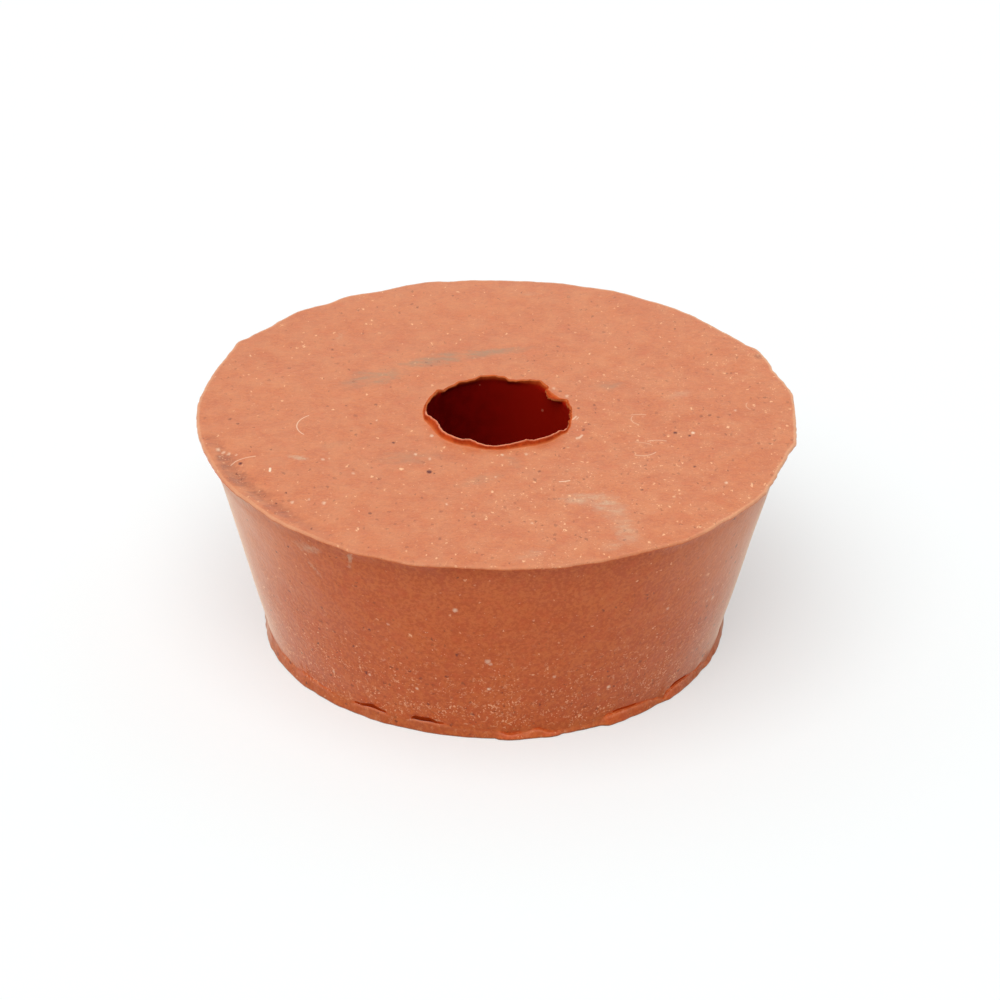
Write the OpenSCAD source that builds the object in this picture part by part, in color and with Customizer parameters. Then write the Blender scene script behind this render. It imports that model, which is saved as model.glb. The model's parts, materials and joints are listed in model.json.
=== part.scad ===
// One-hole tapered rubber stopper, moulded in one piece.
// Millimetres, +Z up. The origin is the centre of the flat base.

/* [Body] */
// Height from the base to the flat top face
height = 25; // [15:0.5:50]
// Diameter of the tapered side, carried up to the top face
taper_top_d = 62; // [52:0.2:90]
// Diameter of the tapered side, carried down to the base
taper_base_d = 49; // [36:0.2:50]

/* [Hole] */
// Diameter of the hole right through
bore_d = 15.9; // [5:0.1:25]

/* [Lip round the top edge] */
// Thickness of the thin lip that the mould leaves
rim_lip_t = 0.3; // [0.2:0.05:1]
// How far the lip stands out past the tapered side
rim_lip_out = 1; // [0.8:0.1:3]
// Radius of the hollow under the lip
rim_hollow_r = 1; // [0.3:0.1:3]

/* [Band round the foot] */
// Height of the band
foot_band_h = 1; // [0.4:0.1:3]
// How far the band stands out past the tapered side at the band's top
foot_band_out = 0.24; // [0.2:0.02:2]

/* [Lip round the mouth of the hole] */
// Height of the thin lip above the top face
mouth_lip_h = 0.8; // [0.3:0.1:2]
// Thickness of the lip
mouth_lip_t = 0.3; // [0.2:0.05:1]
// Radius of the hollow at the lip's root
mouth_hollow_r = 0.6; // [0.2:0.1:2]

/* [Hidden] */
$fn = 128;

rubber = [0.80, 0.47, 0.32];
// How far the drill runs past each end of the hole
overcut = 1;
// Straight stretch that a hollow always leaves at the edge of a lip
land = 0.15;
// How far a hollow's arc bites into its walls, so that they cross cleanly
bite = 0.002;

top_r = taper_top_d / 2;
base_r = taper_base_d / 2;
// Lean of the side away from the axis
lean = atan2(top_r - base_r, height);
function side_r(z) = base_r + z * tan(lean);

foot_r = side_r(foot_band_h) + foot_band_out;
rim_r = top_r + rim_lip_out;
rim_under_z = height - rim_lip_t;
mouth_r = bore_d / 2 + mouth_lip_t;
mouth_top_z = height + mouth_lip_h;

// A hollow rounds the corner between two straight walls that open by an angle.
// Its reach is how far from the corner it meets each wall.
function limited(r, wall, opening) = min(r, (wall - land) * tan(opening / 2));
function reach(r, opening) = r / tan(opening / 2);
function along(corner, angle, distance) = corner + distance * [cos(angle), sin(angle)];
function hollow_centre(corner, angle, opening, r) =
  along(corner, angle + opening / 2, r / sin(opening / 2));

// The hollow between the side and the underside of the rim lip
rim_opening = 90 + lean;
rim_corner = [side_r(rim_under_z), rim_under_z];
rim_hollow = limited(rim_hollow_r, rim_r - rim_corner[0], rim_opening);
rim_reach = reach(rim_hollow, rim_opening);
rim_centre = hollow_centre(rim_corner, -rim_opening, rim_opening, rim_hollow);

// The hollow between the top face and the outside of the mouth lip
mouth_corner = [mouth_r, height];
mouth_hollow = limited(mouth_hollow_r, mouth_lip_h, 90);
mouth_centre = hollow_centre(mouth_corner, 0, 90, mouth_hollow);

// Half section from the axis outwards, with the hole not yet made
module half_section() {
  difference() {
    polygon([
      [0, 0],
      [foot_r, 0],
      [foot_r, foot_band_h],
      [side_r(foot_band_h), foot_band_h],
      along(rim_corner, -rim_opening, rim_reach),
      rim_centre,
      along(rim_corner, 0, rim_reach),
      [rim_r, rim_under_z],
      [rim_r, height],
      along(mouth_corner, 0, mouth_hollow),
      mouth_centre,
      along(mouth_corner, 90, mouth_hollow),
      [mouth_r, mouth_top_z],
      [0, mouth_top_z]
    ]);
    translate(rim_centre) circle(rim_hollow + bite);
    translate(mouth_centre) circle(mouth_hollow + bite);
  }
}

module bore() {
  translate([0, 0, -overcut]) cylinder(h = mouth_top_z + 2 * overcut, d = bore_d);
}

module stopper() {
  color(rubber) difference() {
    rotate_extrude() half_section();
    bore();
  }
}

stopper();
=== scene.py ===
"""One-hole tapered rubber stopper: the worn rubber, and the floor, lamps and camera it is shown with."""

import json
import math

import bpy
import numpy as np
from bpy.props import FloatProperty, FloatVectorProperty, IntProperty, PointerProperty
from mathutils import Matrix, Vector, noise


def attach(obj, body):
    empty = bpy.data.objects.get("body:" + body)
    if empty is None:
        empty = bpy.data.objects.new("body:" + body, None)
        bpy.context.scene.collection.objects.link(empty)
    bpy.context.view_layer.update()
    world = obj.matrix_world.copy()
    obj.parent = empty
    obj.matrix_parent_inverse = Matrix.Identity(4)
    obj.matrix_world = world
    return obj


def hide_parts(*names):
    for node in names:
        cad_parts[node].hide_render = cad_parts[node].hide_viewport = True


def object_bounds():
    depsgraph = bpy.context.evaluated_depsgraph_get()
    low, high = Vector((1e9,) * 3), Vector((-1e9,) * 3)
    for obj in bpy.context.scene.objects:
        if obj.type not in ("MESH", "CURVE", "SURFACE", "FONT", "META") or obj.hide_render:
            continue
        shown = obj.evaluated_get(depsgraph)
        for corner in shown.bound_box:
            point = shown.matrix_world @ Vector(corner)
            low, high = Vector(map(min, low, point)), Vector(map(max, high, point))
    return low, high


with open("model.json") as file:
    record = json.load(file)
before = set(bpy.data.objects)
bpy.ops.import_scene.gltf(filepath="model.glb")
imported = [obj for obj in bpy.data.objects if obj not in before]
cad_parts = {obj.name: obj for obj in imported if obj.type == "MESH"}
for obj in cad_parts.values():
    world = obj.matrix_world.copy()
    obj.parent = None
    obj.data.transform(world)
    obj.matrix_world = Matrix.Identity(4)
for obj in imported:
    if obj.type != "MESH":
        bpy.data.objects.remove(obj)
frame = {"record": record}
CAD_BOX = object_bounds()

bl_info = {
    "name": "Rubber Stopper",
    "version": (1, 0, 0),
    "blender": (4, 5, 0),
    "location": "View3D > Sidebar > Stopper",
    "description": "Makes a worn one-hole rubber stopper and the stage it is shown on",
    "category": "Add Mesh",
}

NODE = "stopper"
BORE_MOUNT = next(m for m in frame["record"]["mounts"] if m["name"] == "bore")
MM = 0.001
MERGE = 0.001 * MM

# Heights and radii below are in millimetres and angles in degrees, counted from +X towards +Y.

TOP_Z = 25.0
SIDE_TOP_R = 31.0
SIDE_BASE_R = 24.5
LEAN = (SIDE_TOP_R - SIDE_BASE_R) / TOP_Z

# The side starts above the foot's flash, and ends where the hollow under the rim starts.
SIDE_LOW_Z = 2.0
HOLLOW_LOW_Z = 23.6
HOLLOW_LOW_R = 30.75
HOLLOW_RISE = 1.1

# Worn groove on the wide face.
GROOVE_R = 30.1

# Torn lip of the hole: its wall, the round at its root, how far its edge is crowned, and the middle and
# half width of the stretch that has crumbled and of the one that catches the light.
LIP_THICK = 0.21
LIP_FILLET = 0.14
LIP_CROWN = 0.03
CRUMBS_AT = 16
CRUMBS_HALF = 34
LIT_AT = 260
LIT_HALF = 86

# Edge of the wide end: where its thin flash stands out or is worn back.
RIM_WAVE = [
    (0, 0.0), (10, 0.34), (19, 0.03), (24, 0.34), (28, 0.6), (32, 0.12), (40, -0.18), (50, 0.1),
    (60, -0.04), (65, 0.14), (76, -0.16), (89, -0.36), (98, -0.27), (104, 0.05), (108, -0.06), (114, -0.42),
    (122, 0.12), (126, -0.18), (134, 0.35), (142, -0.02), (148, 0.32), (150.5, 0.7), (154, 0.32),
    (160, 0.05), (167, -0.08), (178, 0.0), (188, -0.14), (200, -0.36), (206, -0.2), (212, -0.3),
    (219, -0.36), (226, -0.16), (234, -0.12), (240, 0.1), (243, 0.3), (248, 0.2), (256, 0.3), (264, -0.18),
    (274, 0.0), (300, 0.0), (308, 0.4), (318, 0.1), (330, 0.24), (334, -0.08), (340, -0.4), (346, -0.3),
    (351, 0.14), (356, 0.0),
]

# Torn lip round the mouth of the hole: angle, radius of its edge, height of its edge, radius of its root.
MOUTH_EDGE = [
    (3, 7.95, 0.03, 8.1), (14, 8.1, 0.05, 8.25), (25, 8.2, 0.05, 8.35), (30, 7.0, 0.04, 7.9),
    (35, 6.9, 0.0, 7.9), (40, 7.05, 0.04, 7.9), (45, 7.5, 0.12, 8.0), (49, 8.35, 0.2, 8.5),
    (55, 8.25, 0.55, 8.4), (62, 8.15, 0.45, 8.3), (67, 8.05, 0.32, 8.2), (75, 7.85, 0.15, 8.0),
    (79, 7.75, 0.2, 7.95), (85, 8.05, 0.4, 8.2), (94, 8.05, 0.5, 8.2), (102, 8.05, 0.45, 8.2),
    (111, 7.9, 0.3, 8.05), (121, 7.9, 0.3, 8.05), (131, 7.8, 0.2, 8.0), (137, 7.7, 0.12, 7.9),
    (139.5, 8.3, 0.08, 8.4), (143, 8.1, 0.15, 8.25), (148, 7.9, 0.2, 8.1), (164, 7.72, 0.22, 7.9),
    (176, 7.65, 0.25, 7.85), (182, 7.6, 0.4, 7.78), (186, 7.64, 0.6, 7.75), (190, 7.66, 0.74, 7.72),
    (197, 7.21, 0.78, 7.6), (203, 7.08, 0.76, 7.55), (209, 7.13, 0.78, 7.62), (216, 7.4, 0.78, 7.72),
    (223, 7.7, 0.76, 7.83), (230, 7.76, 0.76, 7.86), (236, 7.72, 0.7, 7.84), (242, 7.68, 0.68, 7.8),
    (245, 7.5, 0.76, 7.76), (248, 7.38, 0.79, 7.72), (252, 7.6, 0.72, 7.73), (256, 7.72, 0.64, 7.76),
    (264, 7.74, 0.44, 7.78), (269, 7.72, 0.44, 7.8), (274, 7.71, 0.5, 7.8), (280, 7.62, 0.54, 7.74),
    (285, 7.53, 0.6, 7.7), (290, 7.5, 0.66, 7.74), (296, 7.5, 0.75, 7.82), (299, 7.66, 0.68, 7.9),
    (302, 7.8, 0.6, 7.96), (312, 7.98, 0.62, 8.17), (320, 8.02, 0.56, 8.2), (327, 8.02, 0.5, 8.22),
    (333, 8.3, 0.3, 8.42), (340, 8.12, 0.1, 8.3), (352, 7.9, 0.05, 8.1),
]

# Flash round the foot: angle, its height, how far it stands out, how far it has opened from the body.
FOOT_FLASH = [
    (0, 0.9, 0.0, 0.1), (25, 0.7, -0.15, 0.0), (40, 1.1, 0.05, 0.2), (48, 1.2, 0.1, 0.6),
    (58, 1.0, -0.05, 0.0), (95, 0.8, -0.2, 0.0), (108, 1.0, 0.1, 0.2), (116, 1.2, 0.15, 0.6),
    (127, 0.6, -0.1, 0.0), (160, 0.9, 0.0, 0.2), (178, 1.0, -0.05, 0.1), (185, 1.1, -0.15, 0.1),
    (196, 1.4, 0.0, 0.2), (203, 1.3, 0.0, 0.12), (207, 1.3, -0.02, 0.25), (212, 1.2, 0.02, 0.12),
    (216, 1.6, 0.04, 0.25), (221, 1.45, -0.1, 0.3), (225, 1.35, -0.06, 0.3), (228, 1.15, -0.1, 0.12),
    (232, 1.1, -0.16, 0.0), (235, 1.3, -0.18, 0.45), (239, 1.5, -0.16, 0.68), (242.5, 1.4, -0.16, 0.45),
    (245, 1.2, -0.2, 0.0), (248.5, 1.2, -0.28, 0.0), (251, 1.35, -0.27, 0.85), (254, 1.45, -0.26, 0.8),
    (257.5, 1.35, -0.22, 0.35), (261, 1.2, -0.24, 0.12), (266, 1.1, -0.2, 0.12), (270.4, 0.9, -0.2, 0.1),
    (271.6, 0.75, 0.12, 0.2), (274, 0.6, 0.2, 0.3), (276, 0.65, 0.18, 0.3), (278, 0.6, 0.1, 0.1),
    (279.5, 0.85, 0.06, 0.2), (281, 0.9, 0.1, 0.32), (283, 0.6, 0.18, 0.25), (285.5, 0.5, 0.12, 0.2),
    (287.5, 0.4, -0.12, 0.0), (294, 0.5, -0.2, 0.0), (296.5, 0.4, -0.16, 0.0), (299, 1.1, 0.24, 0.3),
    (302, 1.25, 0.2, 0.4), (306, 1.25, 0.06, 0.36), (310, 1.1, 0.04, 0.25), (314, 0.8, -0.1, 0.25),
    (316.3, 0.3, 0.04, 0.2), (318, 0.9, 0.16, 0.3), (321, 1.2, 0.08, 0.42), (325, 1.15, 0.0, 0.36),
    (329, 0.8, -0.08, 0.2), (333.5, 0.9, -0.16, 0.3), (336, 0.5, -0.04, 0.0), (342, 0.8, -0.08, 0.1),
    (352, 0.9, -0.1, 0.2),
]

# Where the edge of the wide end is rubbed: angle, depth lost at the edge, depth of the groove inside it,
# how pale the edge is, partly worn and partly a painted highlight, and how far the hollow under it is filled.
RIM_WEAR = [
    (0, 0.05, 0.0, 0.8, 0.0), (40, 0.04, 0.0, 0.9, 0.0), (90, 0.03, 0.0, 0.6, 0.0),
    (150, 0.0, 0.0, 0.6, 0.2), (185, 0.04, 0.06, 0.6, 0.8), (198, 0.1, 0.2, 0.4, 0.9),
    (208, 0.16, 0.28, 0.4, 0.9), (220, 0.14, 0.26, 0.5, 0.6), (232, 0.1, 0.12, 0.45, 0.2),
    (244, 0.06, 0.0, 0.15, 0.0), (300, 0.06, 0.0, 0.15, 0.0), (320, 0.08, 0.0, 0.6, 0.1),
]

# What the settings of one kind have in common.
LENGTH = {"unit": "LENGTH", "subtype": "DISTANCE", "precision": 5}
ANGLE = {"unit": "ROTATION", "subtype": "ANGLE"}
COLOUR = {"subtype": "COLOR", "size": 3, "min": 0, "max": 1}
SHARE = {"min": 0, "max": 1}


class StopperShape(bpy.types.PropertyGroup):
    """Sizes of the stopper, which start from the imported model."""

    rim_radius: FloatProperty(
        name="Rim Radius", description="Radius of the wide end, over its flash",
        default=CAD_BOX[1].x, **LENGTH)
    bore_radius: FloatProperty(
        name="Hole Radius", description="Radius of the hole",
        default=BORE_MOUNT["dims"]["r_mm"] * MM, **LENGTH)
    foot_radius: FloatProperty(
        name="Foot Radius", description="Radius of the narrow end, over its flash",
        default=25.16 * MM, **LENGTH)
    segments: IntProperty(
        name="Segments", description="Steps of the spin round the hole", default=840, min=90, max=1000)
    raggedness: FloatProperty(
        name="Raggedness", description="Size of the fine tears along the thin edges",
        default=0.05 * MM, **LENGTH)
    waviness: FloatProperty(
        name="Waviness", description="How far the moulded faces wander from true",
        default=0.07 * MM, **LENGTH)


class StopperFinish(bpy.types.PropertyGroup):
    """Colours and finish of the rubber."""

    rubber: FloatVectorProperty(
        name="Rubber", description="Colour of the clean rubber", default=(0.536, 0.0940, 0.004), **COLOUR)
    # Painted shade: the hole's rubber is painted far darker than the lip's, for the shade deep in the hole.
    shaded_hole_rubber: FloatVectorProperty(
        name="Deep Rubber", description="Colour inside the hole", default=(0.16, 0.002, 0.0005), **COLOUR)
    clear_rubber: FloatVectorProperty(
        name="Clear Rubber", description="Colour of the thin torn lip",
        default=(0.46, 0.052, 0.008), **COLOUR)
    slit_rubber: FloatVectorProperty(
        name="Slit Rubber", description="Colour of the clean rubber in the slits at the foot",
        default=(0.46, 0.06, 0.008), **COLOUR)
    lip_foot: FloatVectorProperty(
        name="Lip Foot", description="Colour where the lip leaves the wide face",
        default=(0.68, 0.19, 0.06), **COLOUR)
    # Painted highlight: the colour of the thin edges where they catch the light, also used for the glints in the
    # hole.
    edge_highlight: FloatVectorProperty(
        name="Worn Edge", description="Colour of the thin edges where they catch the light",
        default=(0.84, 0.30, 0.17), **COLOUR)
    bloom: FloatVectorProperty(
        name="Bloom", description="Colour of the pale powder on the rubber",
        default=(0.85, 0.50, 0.29), **COLOUR)
    bloom_cover: FloatProperty(
        name="Bloom Cover", description="Share of the wide face's colour that is powder",
        default=0.225, **SHARE)
    smudge: FloatVectorProperty(
        name="Smudge", description="Colour of the grey rubbed marks", default=(0.28, 0.235, 0.15), **COLOUR)
    chalk: FloatVectorProperty(
        name="Chalk", description="Colour of the pale rubbed marks", default=(0.62, 0.43, 0.28), **COLOUR)
    soil: FloatVectorProperty(
        name="Soil", description="Colour of the brown dirt in the worn groove",
        default=(0.25, 0.07, 0.035), **COLOUR)
    dust: FloatVectorProperty(
        name="Dust", description="Colour of the loose dust", default=(0.94, 0.55, 0.30), **COLOUR)
    lint: FloatVectorProperty(
        name="Lint", description="Colour of the single flecks and fibres",
        default=(0.92, 0.70, 0.50), **COLOUR)
    # Darkening of the foot: painted shade low on its flash, and a dark line along its bottom edge and the edge of
    # its underside.
    foot_darkening: FloatVectorProperty(
        name="Grime", description="Colour of the dirt along the foot",
        default=(0.20, 0.12, 0.045), **COLOUR)
    soot: FloatVectorProperty(
        name="Dark Specks", description="Colour of the dark specks", default=(0.12, 0.006, 0.0), **COLOUR)
    roughness: FloatProperty(
        name="Roughness", description="Roughness of the clean rubber", default=0.55, **SHARE)
    sheen: FloatProperty(
        name="Sheen", description="Pale glow of the powdery skin, seen at a slant", default=1.0, **SHARE)
    sheen_tint: FloatVectorProperty(
        name="Sheen Tint", description="Colour of the glow", default=(1.0, 0.90, 0.75), **COLOUR)
    gloss: FloatProperty(
        name="Gloss", description="Strength of the plain reflections", default=0.45, **SHARE)


class StopperStage(bpy.types.PropertyGroup):
    """Floor, lamps and camera."""

    backdrop_shade: FloatProperty(
        name="Backdrop Shade", description="Brightness of the room where the camera sees it",
        default=0.982, **SHARE)
    floor_bounce: FloatProperty(
        name="Floor Bounce", description="Share of the light that the floor sends back",
        default=0.75, **SHARE)
    shadow_depth: FloatProperty(
        name="Shadow Depth", description="Share of the floor's brightness that a shadow can take away",
        default=0.57, **SHARE)
    floor_glow: FloatProperty(
        name="Floor Glow", description="Brightness of the floor that no shadow takes away",
        default=0.392, **SHARE)
    glow_tint: FloatVectorProperty(
        name="Glow Tint", description="Colour of that brightness, which evens out the red from the stopper",
        default=(0.92, 1.0, 1.0), **COLOUR)
    key_power: FloatProperty(
        name="Key Lamp", description="Strength of the wide soft lamp overhead", default=1.82, min=0)
    front_power: FloatProperty(
        name="Front Lamp", description="Strength of the smaller lamp over the front", default=0.28, min=0)
    light_above: FloatProperty(
        name="Light Above", description="Strength of the light from above", default=0.226, min=0)
    light_behind: FloatProperty(
        name="Light Behind", description="Strength of the light from behind", default=0.54, min=0)
    light_left: FloatProperty(
        name="Light Left", description="Strength of the light from the left", default=0.74, min=0)
    light_right: FloatProperty(
        name="Light Right", description="Strength of the light from the right", default=0.48, min=0)
    lens: FloatProperty(
        name="Lens", description="Focal length of the camera", default=157.6, unit="CAMERA")
    distance: FloatProperty(
        name="Camera Distance", description="From the middle of the stopper to the camera",
        default=0.4734, **LENGTH)
    elevation: FloatProperty(
        name="Camera Elevation", description="Angle that the camera looks down by",
        default=math.radians(30.07), **ANGLE)
    roll: FloatProperty(
        name="Camera Roll", description="Tilt of the camera", default=math.radians(0.61), **ANGLE)


# ---- Curves round the stopper ----

def ease(share):
    """0 to 1 with a soft start and end."""
    share = np.clip(share, 0.0, 1.0)
    return share * share * (3 - 2 * share)


def round_curve(knots, angles, column=1):
    """Smooth closed curve through knots, read at angles in degrees."""
    places = np.array([k[0] for k in knots] + [knots[0][0] + 360.0])
    values = np.array([k[column] for k in knots] + [knots[0][column]])
    turned = (angles - places[0]) % 360.0 + places[0]
    after = np.clip(np.searchsorted(places, turned, side="right"), 1, len(places) - 1)
    share = (turned - places[after - 1]) / (places[after] - places[after - 1])
    return values[after - 1] + (values[after] - values[after - 1]) * ease(share)


def round_noise(angles, waves, seed):
    """Closed fine noise round the stopper, about -1 to 1, with some waves in one turn."""
    reach = waves / (2 * math.pi)
    turns = np.radians(angles)
    return np.array([
        2 * noise.noise(Vector((reach * math.cos(a), reach * math.sin(a), seed))) for a in turns
    ])


def face_noise(points, size, seed):
    """Soft noise over a surface, about -1 to 1, with bumps of a size in millimetres."""
    shift = Vector((seed, -seed, 2 * seed))
    return np.array([2 * noise.noise(Vector(p) / size + shift) for p in points])


# ---- Section of the stopper ----

def arc(centre, radius, start, end, steps):
    """Points of an arc, in degrees from +X."""
    turns = np.radians(np.linspace(start, end, steps))
    return [(centre[0] + radius * math.cos(a), centre[1] + radius * math.sin(a)) for a in turns]


def side_r(z):
    """Radius of the tapered side at a height."""
    return SIDE_BASE_R + LEAN * z


def section(shape):
    """Half section, as (zone, share of the zone, radius, height), up the outside and down the hole."""
    rim, bore, foot = (r / MM for r in (shape.rim_radius, shape.bore_radius, shape.foot_radius))
    rings = []

    def zone(name, points):
        last = max(1, len(points) - 1)
        rings.extend((name, place / last, r, z) for place, (r, z) in enumerate(points))

    zone("base", [(r, 0.0) for r in (bore + 0.35, 10, 12.5, 15.5, 18.5, 21.5, 23.6)])
    zone("foot", [(foot - 0.12 + 0.01 * k, 0.02 * k) for k in range(11)])
    zone("taper", [(side_r(z), z) for z in np.linspace(SIDE_LOW_Z, HOLLOW_LOW_Z, 18)])
    zone("hollow", arc((31.695, 23.7), 1.0, 165.4, 94, 8))
    zone("rim", [
        (rim, 24.70), (rim, 24.84), (rim - 0.03, 24.93), (rim - 0.10, 24.985), (rim - 0.21, TOP_Z)])
    zone("top", [(r, TOP_Z) for r in (
        31.6, 31.25, 30.8, 30.1, 29.2, 28.0, 26.4, 24.6, 22.6, 20.4, 18.2, 16.0, 14.0, 12.2, 10.8, 9.8, 9.1, 8.7)])
    zone("lip_outer", [(8.3 - 0.05 * k, TOP_Z + 0.05 * k) for k in range(7)])
    zone("lip_edge", [(7.98 - 0.02 * k, TOP_Z + 0.34) for k in range(3)])
    zone("lip_inner", [(bore - 0.05 + 0.01 * k, TOP_Z + 0.3 - 0.14 * k) for k in range(6)])
    zone("bore", [
        (bore, z) for z in (24.1, 23.4, 22.4, 21, 19.4, 17.6, 15.6, 13.4, 11, 8.6, 6.4, 4.2, 2.2, 0.8)])
    zone("bore_foot", [(bore + 0.01, 0.4), (bore + 0.05, 0.15), (bore + 0.15, 0.0)])
    return rings


# ---- Mesh ----

def start_clean():
    """Leaves edit mode and deselects everything."""
    if bpy.context.object and bpy.context.object.mode != "OBJECT":
        bpy.ops.object.mode_set(mode="OBJECT")
    bpy.ops.object.select_all(action="DESELECT")


def spin_section(name, points, segments):
    """Draws a closed section as a chain of edges, points in metres, and turns it into a solid ring."""
    start_clean()
    bpy.ops.mesh.primitive_circle_add(vertices=3, radius=MM)
    piece = bpy.context.object
    piece.name = name
    piece.data.name = name
    bpy.ops.object.mode_set(mode="EDIT")
    bpy.ops.mesh.select_all(action="SELECT")
    bpy.ops.mesh.merge(type="CENTER")
    bpy.ops.transform.translate(value=(points[0][0], 0.0, points[0][1]))
    for before, after in zip(points, points[1:]):
        step = (after[0] - before[0], 0.0, after[1] - before[1])
        bpy.ops.mesh.extrude_region_move(TRANSFORM_OT_translate={"value": step})
    bpy.ops.object.mode_set(mode="OBJECT")
    ends = np.bincount([v for edge in piece.data.edges for v in edge.vertices]) == 1
    piece.data.vertices.foreach_set("select", ends)
    bpy.ops.object.mode_set(mode="EDIT")
    bpy.ops.mesh.edge_face_add()
    bpy.ops.object.mode_set(mode="OBJECT")
    bpy.ops.object.modifier_add(type="SCREW")
    lathe = piece.modifiers[0]
    lathe.axis = "Z"
    lathe.angle = 2 * math.pi
    lathe.steps = lathe.render_steps = segments
    lathe.use_merge_vertices = True
    lathe.merge_threshold = MERGE
    bpy.ops.object.modifier_apply(modifier=lathe.name)
    bpy.ops.object.mode_set(mode="EDIT")
    bpy.ops.mesh.select_all(action="SELECT")
    bpy.ops.mesh.remove_doubles(threshold=MERGE)
    bpy.ops.mesh.normals_make_consistent(inside=False)
    bpy.ops.object.mode_set(mode="OBJECT")
    return piece


class Skin:
    """The moulded ring's vertices by their place in the section, in millimetres, while they are worn."""

    def __init__(self, piece, rings):
        self.mesh = piece.data
        points = np.empty(len(self.mesh.vertices) * 3)
        self.mesh.vertices.foreach_get("co", points)
        points = points.reshape(-1, 3) / MM
        self.r = np.hypot(points[:, 0], points[:, 1])
        self.z = points[:, 2].copy()
        self.angle = np.degrees(np.arctan2(points[:, 1], points[:, 0])) % 360.0
        self.turn = np.radians(self.angle)
        places = np.array([(r, z) for _, _, r, z in rings])
        here = np.stack([self.r, self.z], 1)
        nearest = np.array([np.argmin(np.abs(places - p).sum(1)) for p in here])
        self.zone = np.array([name for name, _, _, _ in rings])[nearest]
        self.share = np.array([share for _, share, _, _ in rings])[nearest]

    def among(self, *names):
        """Which vertices lie in these zones."""
        return np.isin(self.zone, names)

    def away_from(self, angle):
        """How far round from an angle each vertex lies, in degrees."""
        return np.abs((self.angle - angle + 180) % 360 - 180)

    def points(self):
        """Vertex places in millimetres."""
        return np.stack([self.r * np.cos(self.turn), self.r * np.sin(self.turn), self.z], 1)

    def put_back(self):
        """Writes the places to the mesh, in metres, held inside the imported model's box."""
        low, high = (np.array(corner) for corner in CAD_BOX)
        points = np.clip(self.points() * MM, low, high)
        self.mesh.vertices.foreach_set("co", points.astype(np.float32).ravel())
        self.mesh.update()

    def keep(self, name, values):
        """Keeps one number for each vertex as an attribute that the material reads."""
        made = self.mesh.attributes.new(name=name, type="FLOAT", domain="POINT")
        made.data.foreach_set("value", np.clip(values, 0, 1).astype(np.float32))


def wander(skin, shape):
    """Lets the moulded faces wander a little from true, but not near their edges."""
    size = shape.waviness / MM
    skin.r += size * 0.8 * round_noise(skin.angle, 4, 3.1) * skin.among("taper", "hollow", "rim", "foot")
    bumps = face_noise(skin.points(), 9.0, 5.7)
    along = ease(np.minimum(skin.z - SIDE_LOW_Z, 23.0 - skin.z) / 4.0)
    skin.r += size * bumps * along * skin.among("taper")
    inner = ease(np.minimum(skin.r - 9.5, 30.5 - skin.r) / 4.0)
    skin.z += size * bumps * inner * skin.among("top")
    under = ease(np.minimum(skin.r - 9.5, 23.0 - skin.r) / 3.0)
    skin.z += size * np.abs(bumps) * under * skin.among("base")
    skin.r += 0.5 * size * bumps * skin.among("bore")


def wear_rim(skin, shape):
    """Waves, nicks and rubs the thin edge of the wide end, and returns how pale it is, worn and with a painted
    highlight.
    """
    edge = skin.among("hollow", "rim", "top")
    out = ease((skin.r - 29.0) / 2.8) * edge
    fine = shape.raggedness / MM * round_noise(skin.angle, 150, 8.3)
    finer = 0.5 * shape.raggedness / MM * round_noise(skin.angle, 420, 2.9)
    wave = round_curve(RIM_WAVE, skin.angle)
    lost, groove, pale, filled = (round_curve(RIM_WEAR, skin.angle, column) for column in (1, 2, 3, 4))
    rim = shape.rim_radius / MM
    filled_r = HOLLOW_LOW_R + (rim - HOLLOW_LOW_R) * (skin.z - HOLLOW_LOW_Z) / HOLLOW_RISE
    skin.r += filled * (filled_r - skin.r) * skin.among("hollow")
    skin.r += 0.22 * filled * np.exp(-((skin.z - 22.8) / 1.8) ** 2) * skin.among("taper", "hollow")
    groove = groove * (1 + 0.3 * round_noise(skin.angle, 40, 12.2))
    near_edge = ease((skin.r - SIDE_TOP_R) / 0.8) * edge
    lost = lost * (1 + 0.5 * round_noise(skin.angle, 95, 6.6))
    skin.z -= lost * ease((skin.r - 29.4) / 2.6) * edge
    skin.z -= groove * np.exp(-((skin.r - GROOVE_R) / 0.75) ** 2) * skin.among("top")
    skin.r += wave * out + (fine + finer) * near_edge
    return pale * ease((skin.r - wave - SIDE_TOP_R) / 0.7)


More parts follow.
